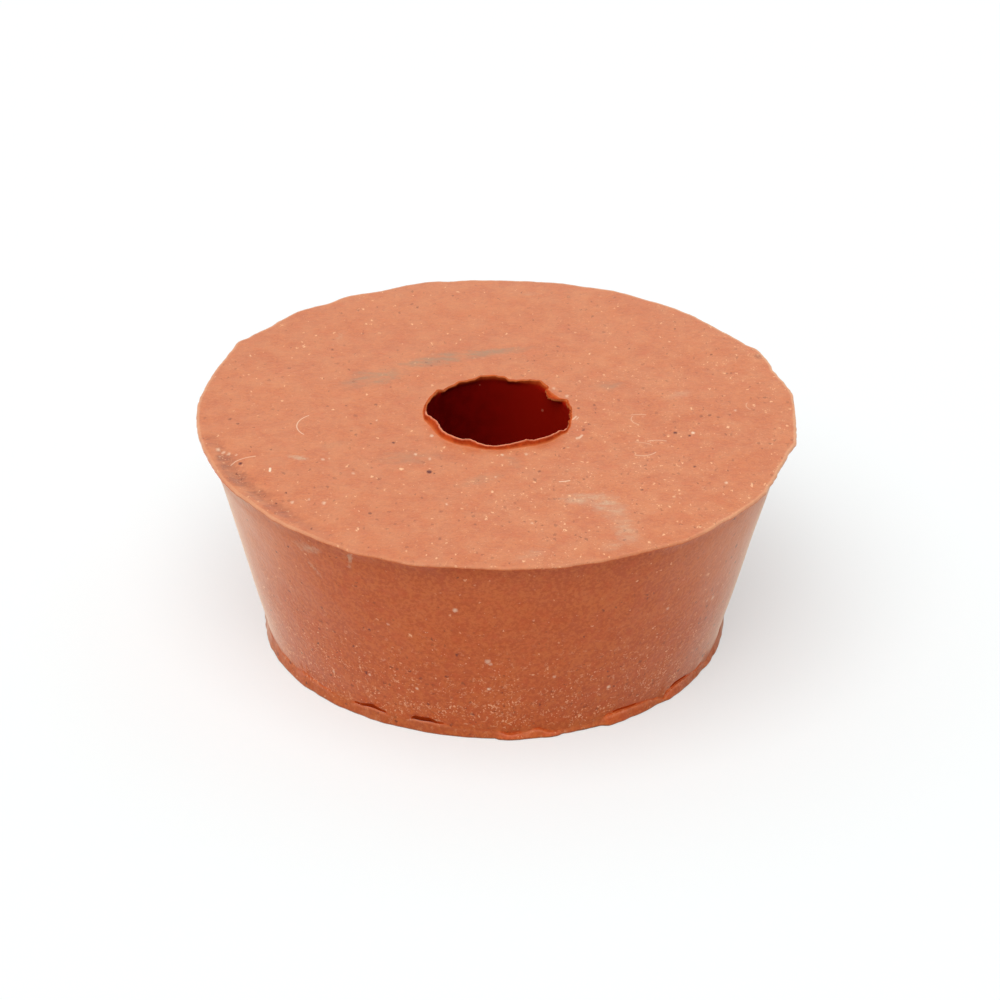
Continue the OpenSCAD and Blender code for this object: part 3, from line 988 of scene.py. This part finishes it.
class RubberLook:
    """Lays the rubber's colour coat by coat, with the places, masks and noises that its coats share."""

    def __init__(self, tree, finish, specks):
        self.tree, self.finish, self.specks = tree, finish, specks
        self.colour = rgba(finish.rubber)
        self.place = place_in_mm(tree)
        self.x, self.y, self.z = split(tree, self.place)
        self.flat = join(tree, self.x, self.y)
        turn = calc(tree, "ARCTAN2", self.x, mul(tree, self.y, -1.0))
        unrolled = join(tree, mul(tree, turn, (SIDE_TOP_R + SIDE_BASE_R) / 2), self.z)
        self.thin, self.edge, self.face = kept(tree, "thin", "edge", "wide_face")
        self.side = less(tree, 1.0, self.face, clamp=True)
        self.patchy = cloud(tree, 2.2, 3.0, self.place, 0.6)
        self.fine = cloud(tree, 0.42, 1.0, self.place)
        self.grain = cloud(tree, 0.2, 1.0, self.place, 0.7)
        stray = put(
            tree, "ShaderNodeTexNoise", {"Vector": self.place, "Scale": 3.2, "Detail": 2.0}, output=1)
        fray = scaled(tree, vector(tree, "SUBTRACT", stray, (0.5, 0.5, 0.5)), 1.1)
        both = (self.flat, unrolled)
        self.frayed, self.frayed_side = (
            vector(tree, "MULTIPLY", vector(tree, "ADD", at, fray), (1.0, 1.0, 0.0)) for at in both)
        slight = vector(tree, "MULTIPLY", fray, (0.35, 0.35, 0.0))
        self.blotted, self.blotted_side = (vector(tree, "ADD", at, slight) for at in both)

    def coat(self, share, shown):
        """Lays a colour over those below it, where a mask shows."""
        self.colour = tint(self.tree, share, self.colour, shown)

    def lay_clean_rubber(self):
        """The rubber itself, a little paler or darker, and redder, from place to place at every size."""
        tree, rubber = self.tree, self.finish.rubber
        shade = line(tree, cloud(tree, 5.5, 5.0, self.place, 0.95), 2.8, -2.8)
        shade = add(tree, shade, mul(tree, self.fine, 1.7))
        shade = add(tree, shade, mul(tree, self.grain, 2.1))
        mottle = line(tree, self.fine, 1.5, -0.75)
        shade = add(tree, shade, mul(tree, mottle, self.side), clamp=True)
        self.colour = tint(tree, shade, times(rubber, 0.90, 0.74, 0.3), times(rubber, 1.10, 1.28, 3.6))
        self.blush = cloud(tree, 1.6, 3.0, vector(tree, "ADD", self.place, (5.0, 17.0, -9.0)), 0.8)
        self.coat(ramp(tree, self.blush, 0.45, 0.7, 0.0, 0.5), times(rubber, 1.06, 0.84, 0.95))

    def lay_bloom(self):
        """Pale powder on the wide face, and more thinly on the side, with a painted sheen high on the side's left
        and right.
        """
        tree, bloom = self.tree, self.finish.bloom
        powder = line(tree, self.face, self.finish.bloom_cover, 0.012)
        powder = mul(tree, powder, ramp(tree, self.patchy, 0.3, 0.7, 0.7, 1.3))
        # Painted sheen: the side is painted paler high up towards its left and right flanks, where it turns from
        # the camera.
        beside = ramp(tree, calc(tree, "ABSOLUTE", self.x), 15.0, 25.0)
        painted_shoulder_sheen = mul(tree, beside, ramp(tree, self.z, 8.0, 20.0))
        self.coat(powder, rgba(bloom))
        self.coat(mul(tree, painted_shoulder_sheen, self.side, 0.3), times(bloom, 1.0, 0.64, 0.48))

    def lay_rubbed_marks(self):
        """Grey and pale marks, and last the dirt in the worn groove, which holds dust too."""
        tree, finish = self.tree, self.finish
        rubbed = rubbed_group()
        smeared = cloud(tree, 0.6, 2.0, vector(tree, "MULTIPLY", self.place, (0.35, 1.0, 1.0)))
        worn = ramp(tree, smeared, 0.3, 0.65, 0.3, 1.0)
        worn = mul(tree, worn, ramp(tree, self.grain, 0.3, 0.6, 0.6, 1.0))
        for rows, where, spread, shown in (
            (SIDE_MARKS, self.side, self.frayed_side, finish.chalk),
            (GREY_MARKS, self.face, self.frayed, finish.smudge),
            (PALE_MARKS, self.face, self.frayed, finish.chalk),
            (SOIL_MARKS, self.face, self.frayed, finish.soil),
        ):
            mask = mul(tree, rubbed_marks(tree, rubbed, spread, self.patchy, rows), worn, where)
            self.coat(mask, rgba(shown))
        self.soiled = mask

    def lay_dust(self):
        """Loose dust, thick low on the side and thinner on the face, with the fibres and pale flecks."""
        tree, place, side, face = self.tree, self.place, self.side, self.face
        fibre = fibre_group()
        low = mul(tree, ramp(tree, self.z, 19.0, 3.0, 0.0, 0.8), ramp(tree, self.z, 0.5, 1.7, 0.4, 1.0))
        dusty_half = ramp(tree, add(tree, self.x, mul(tree, self.y, -0.6)), -12.0, 16.0, 0.22, 0.55)
        dusty = between(tree, face, low, dusty_half)
        dusty = mul(tree, dusty, ramp(tree, self.patchy, 0.35, 0.65, 0.45, 1.3))
        self.dusty = dusty = add(tree, dusty, self.soiled)
        fine_dust = use(tree, dust_group(), place=place, size=0.23, cover=mul(tree, dusty, 1.35))
        fine_dust = mul(tree, fine_dust, ramp(tree, self.blush, 0.35, 0.65, 0.18, 0.75))
        self.tall = vector(tree, "MULTIPLY", place, (1.0, 0.7, 1.0))
        small_dust = use(
            tree, self.specks, place=vector(tree, "ADD", self.tall, (11.0, 3.0, 5.0)), spacing=0.5,
            share=line(tree, dusty, 0.65, 0.12), size=0.18, raggedness=0.5)
        coarse_dust = use(
            tree, self.specks, place=vector(tree, "ADD", self.tall, (31.0, 7.0, 3.0)), spacing=1.4,
            share=mul(tree, dusty, 0.55), size=0.28, raggedness=0.9)
        low_side = mul(tree, side, low)
        curls = mul(tree, low_side, use(
            tree, loose_fibres_group(fibre), place=self.frayed_side, spacing=1.3, share=0.55, bend=0.3,
            half_sweep=0.8, half_width=0.08))
        fibres = mul(tree, fibre_marks(tree, fibre, self.flat, FIBRES), face)
        bright = most(
            tree, mul(tree, fleck_marks(tree, self.blotted, FLECKS, 1, 0.65), face),
            mul(tree, fleck_marks(tree, self.blotted_side, SIDE_FLECKS, 1), side))
        self.coat(gather(tree, [
            fine_dust, mul(tree, small_dust, 0.8), mul(tree, coarse_dust, 0.9), mul(tree, curls, 0.45),
        ]), rgba(self.finish.dust))
        self.coat(most(tree, fibres, mul(tree, bright, 0.85)), rgba(self.finish.lint))

    def lay_dark_specks(self):
        """Dark specks: strewn ones where dust lies, and the single ones."""
        tree = self.tree
        strewn = use(
            tree, self.specks, place=vector(tree, "ADD", self.tall, (-17.0, 43.0, 11.0)), spacing=0.65,
            share=line(tree, self.dusty, 0.65, 0.12), size=0.26, raggedness=0.6)
        single = mul(tree, fleck_marks(tree, self.blotted, FLECKS, -1, 0.8), 1.5, clamp=True)
        single = most(
            tree, mul(tree, single, self.face),
            mul(tree, fleck_marks(tree, self.blotted_side, SIDE_FLECKS, -1), self.side))
        self.coat(most(tree, mul(tree, strewn, 0.95), single), rgba(self.finish.soot))

    def lay_wear(self):
        """Thin rubber is clearer, and painted brighter as if lit through; the thin edges get a painted highlight;
        and the foot is darker, with painted shade low on its flash and a dark line along its bottom edge.
        """
        tree, finish = self.tree, self.finish
        # Partly painted light: thin flaps and lip are painted brighter and clearer, as if light shone through
        # them.
        self.coat(mul(tree, self.thin, 0.7), times(finish.rubber, 1.36, 0.95, 3.0))
        # Painted highlight on the thin edges: the lip's lit front edge and the flash's crests; on the wide face
        # the rim's pale edge, partly worn and partly a painted highlight.
        pale_edge = tint(tree, self.face, rgba(finish.edge_highlight), rgba(finish.bloom))
        self.coat(mul(tree, self.edge, 0.8), pale_edge)
        # Painted shade low on the foot's flash, where it faces up, and a dark line along the bottom edge.
        foot_shade_band = less(tree, ramp(tree, self.z, 1.9, 0.9, 0.0, 0.13), self.thin, clamp=True)
        from_axis = put(tree, "ShaderNodeVectorMath", {0: self.flat}, output=1, operation="LENGTH")
        under = mul(tree, ramp(tree, from_axis, 23.4, 24.7), ramp(tree, self.patchy, 0.36, 0.6, 0.25, 1.0))
        under = mul(tree, ramp(tree, self.z, 0.3, 0.02, 0.0, 0.7), under)
        self.coat(mul(tree, most(tree, under, foot_shade_band), self.side), rgba(finish.foot_darkening))

    def relief(self):
        """The skin's fine bumps, and its roughness."""
        tree, rough = self.tree, self.finish.roughness
        height = add(tree, mul(tree, self.fine, 0.6), mul(tree, self.grain, 0.35))
        height = add(tree, height, self.patchy)
        bump = put(tree, "ShaderNodeBump", {"Strength": 0.6, "Distance": 0.06 * MM, "Height": height})
        return bump, ramp(tree, self.patchy, 0.3, 0.7, rough - 0.07, rough + 0.08)


def finish_material(tree, finish, colour, bump, rough, powdery):
    """Ends a material with one shader, dull, and with or without the glow of powdery skin."""
    shader = tree.nodes.new("ShaderNodeBsdfPrincipled")
    shader.inputs["Specular IOR Level"].default_value = finish.gloss if powdery else CLEAR_GLOSS
    if powdery:
        shader.inputs["Sheen Weight"].default_value = finish.sheen
        shader.inputs["Sheen Roughness"].default_value = GLOW_SPREAD
        shader.inputs["Sheen Tint"].default_value = rgba(finish.sheen_tint)
    tree.links.new(colour, shader.inputs["Base Color"])
    tree.links.new(rough, shader.inputs["Roughness"])
    tree.links.new(bump, shader.inputs["Normal"])
    sink = tree.nodes.new("ShaderNodeOutputMaterial")
    tree.links.new(shader.outputs["BSDF"], sink.inputs["Surface"])


def rubber_material(finish, specks):
    """Dull moulded red rubber with bloom, dust, specks, fibres and rubbed marks, and with painted sheen,
    highlights, glow and shade.
    """
    material, tree = new_material("worn_red_rubber")
    look = RubberLook(tree, finish, specks)
    look.lay_clean_rubber()
    look.lay_bloom()
    look.lay_rubbed_marks()
    look.lay_dust()
    look.lay_dark_specks()
    look.lay_wear()
    bump, rough = look.relief()
    finish_material(tree, finish, look.colour, bump, rough, powdery=True)
    return material


def clear_material(finish, specks):
    """The clean rubber of the torn lip, the hole and the slits, with painted shade in the hole, lighter to one
    side, a painted highlight on the lip's lit edge and a few painted pink glints in the hole.
    """
    material, tree = new_material("clear_red_rubber")
    clear, deep = finish.clear_rubber, finish.shaded_hole_rubber
    place = place_in_mm(tree)
    inside, thin, edge = kept(tree, "inside", "thin", "edge")
    x, _, z = split(tree, place)
    patchy = cloud(tree, 1.6, 3.0, place, 0.7)
    mottled = ramp(tree, patchy, 0.3, 0.7)
    lip = tint(tree, mottled, times(clear, 0.75, 0.7, 0.7), times(clear, 1.25, 1.5, 1.6))
    colour = tint(tree, thin, rgba(finish.lip_foot), lip)
    colour = tint(tree, ramp(tree, z, 8.0, 4.0), colour, rgba(finish.slit_rubber))
    # Painted highlight along the lip's lit edge.
    colour = tint(tree, mul(tree, edge, 0.9), colour, rgba(finish.edge_highlight))
    # Painted light and shade: the hole's wall is painted dark, and lighter towards +x, where light falls into it.
    wall = tint(tree, ramp(tree, x, -6.0, 9.0), times(deep, 0.8, 0.4, 0.6), times(deep, 2.2, 3.6, 1.6))
    wall = tint(tree, mul(tree, mottled, 0.4), wall, times(deep, 1.8, 1.5, 1.0))
    # Painted highlights: pale pink specks on the hole's wall stand for its small glints.
    crumbs = use(tree, specks, place=place, spacing=2.4, share=0.6, size=0.32, raggedness=0.2)
    wall = tint(tree, crumbs, wall, times(finish.edge_highlight, 1.1, 1.1, 1.3))
    colour = tint(tree, inside, colour, wall)
    bump = put(tree, "ShaderNodeBump", {"Strength": 0.4, "Distance": 0.05 * MM, "Height": patchy})
    rough = ramp(tree, patchy, 0.3, 0.7, 0.65, 0.8)
    finish_material(tree, finish, colour, bump, rough, powdery=False)
    return material


# ---- Stage ----

AIM = Vector((0.515, 0.868, 14.0))


def plain_floor(stage):
    """A wide pale floor: seen lighter than it lights the stopper, and still with the stopper's shadow."""
    start_clean()
    bpy.ops.mesh.primitive_plane_add(size=60.0)
    floor = bpy.context.object
    floor.name = "floor"
    material = bpy.data.materials.new("pale_floor")
    material.use_nodes = True
    tree = material.node_tree
    shader = tree.nodes["Principled BSDF"]
    seen = put(tree, "ShaderNodeLightPath")
    bounce, shown = (rgba([grey] * 3) for grey in (stage.floor_bounce, stage.shadow_depth))
    tree.links.new(tint(tree, seen, bounce, shown), shader.inputs["Base Color"])
    shader.inputs["Emission Color"].default_value = rgba(stage.glow_tint)
    tree.links.new(mul(tree, seen, stage.floor_glow), shader.inputs["Emission Strength"])
    shader.inputs["Roughness"].default_value = 1.0
    shader.inputs["Specular IOR Level"].default_value = 0.0
    floor.data.materials.append(material)


def soft_sun(name, power, azimuth, elevation, spread):
    """A soft lamp far away, seen from the stopper at an azimuth and elevation in degrees."""
    bpy.ops.object.light_add(type="SUN")
    lamp = bpy.context.object
    lamp.name = name
    lamp.data.energy = power
    lamp.data.angle = math.radians(spread)
    lamp.rotation_euler = (math.radians(90 - elevation), 0, math.radians(azimuth + 90))


def white_room(stage):
    """Soft light from above, behind and both sides, and white where the camera sees it."""
    world = bpy.data.worlds.new("white_room")
    bpy.context.scene.world = world
    world.use_nodes = True
    tree = world.node_tree
    ground = tree.nodes["Background"]
    ground.inputs["Color"].default_value = (1, 1, 1, 1)
    x, y, z = split(tree, put(tree, "ShaderNodeTexCoord"))
    sides = (
        (z, stage.light_above), (y, stage.light_behind), (mul(tree, x, -1.0), stage.light_left),
        (x, stage.light_right))
    total = 0.0
    for toward, power in sides:
        total = add(tree, mul(tree, most(tree, toward, 0.0), power), total)
    rays = put(tree, "ShaderNodeLightPath").node.outputs
    mirrored = most(tree, rays["Is Glossy Ray"], rays["Is Transmission Ray"])
    seen = most(tree, rays["Is Camera Ray"], mirrored)
    tree.links.new(between(tree, seen, total, stage.backdrop_shade), ground.inputs["Strength"])


def studio_camera(stage):
    """A long lens that looks down at the stopper."""
    middle = Vector((0.0, 0.0, TOP_Z / 2 * MM))
    down = stage.elevation
    back = Vector((0.0, -math.cos(down), math.sin(down)))
    place = middle + back * stage.distance
    aim = AIM * MM
    bpy.ops.object.camera_add(location=place)
    camera = bpy.context.object
    camera.name = "studio_camera"
    camera.data.lens = stage.lens
    camera.data.sensor_width = 36.0
    camera.data.clip_start = 0.01
    camera.data.clip_end = 200.0
    turn = (aim - place).to_track_quat("-Z", "Y").to_matrix().to_4x4()
    camera.rotation_euler = (turn @ Matrix.Rotation(stage.roll, 4, "Z")).to_euler()
    bpy.context.scene.camera = camera


class STOPPER_OT_make_body(bpy.types.Operator):
    """Makes the worn rubber stopper in one piece"""

    bl_idname = "stopper.make_body"
    bl_label = "Make Stopper"

    def execute(self, context):
        piece = worn_body(context.scene.stopper_shape)
        finish = context.scene.stopper_finish
        specks = specks_group()
        piece.data.materials.append(rubber_material(finish, specks))
        piece.data.materials.append(clear_material(finish, specks))
        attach(piece, "root")
        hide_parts(NODE)
        return {"FINISHED"}


class STOPPER_OT_make_stage(bpy.types.Operator):
    """Makes the floor, the lamps and the camera"""

    bl_idname = "stopper.make_stage"
    bl_label = "Make Stage"

    def execute(self, context):
        stage = context.scene.stopper_stage
        plain_floor(stage)
        white_room(stage)
        soft_sun("key_lamp", stage.key_power, azimuth=250, elevation=65, spread=60)
        soft_sun("front_lamp", stage.front_power, azimuth=270, elevation=55, spread=25)
        studio_camera(stage)
        context.scene.view_settings.view_transform = "Standard"
        return {"FINISHED"}


class STOPPER_PT_panel(bpy.types.Panel):
    """Sizes, finish and stage of the stopper, with the buttons that make them."""

    bl_label = "Rubber Stopper"
    bl_space_type = "VIEW_3D"
    bl_region_type = "UI"
    bl_category = "Stopper"

    def draw(self, context):
        scene = context.scene
        for title, group, button in (
            ("Sizes", scene.stopper_shape, None),
            ("Finish", scene.stopper_finish, STOPPER_OT_make_body.bl_idname),
            ("Stage", scene.stopper_stage, STOPPER_OT_make_stage.bl_idname),
        ):
            box = self.layout.box()
            box.label(text=title)
            for name in group.bl_rna.properties.keys():
                if name not in ("rna_type", "name"):
                    box.prop(group, name)
            if button:
                box.operator(button)


CLASSES = (
    StopperShape, StopperFinish, StopperStage, STOPPER_OT_make_body, STOPPER_OT_make_stage,
    STOPPER_PT_panel,
)


def register():
    """Adds the classes and their settings to Blender."""
    for made in CLASSES:
        bpy.utils.register_class(made)
    bpy.types.Scene.stopper_shape = PointerProperty(type=StopperShape)
    bpy.types.Scene.stopper_finish = PointerProperty(type=StopperFinish)
    bpy.types.Scene.stopper_stage = PointerProperty(type=StopperStage)


def unregister():
    """Takes them away again."""
    for name in ("stopper_shape", "stopper_finish", "stopper_stage"):
        delattr(bpy.types.Scene, name)
    for made in reversed(CLASSES):
        bpy.utils.unregister_class(made)


def main():
    """Makes the stopper and its stage."""
    register()
    bpy.ops.stopper.make_body()
    bpy.ops.stopper.make_stage()


if __name__ == "__main__":
    main()
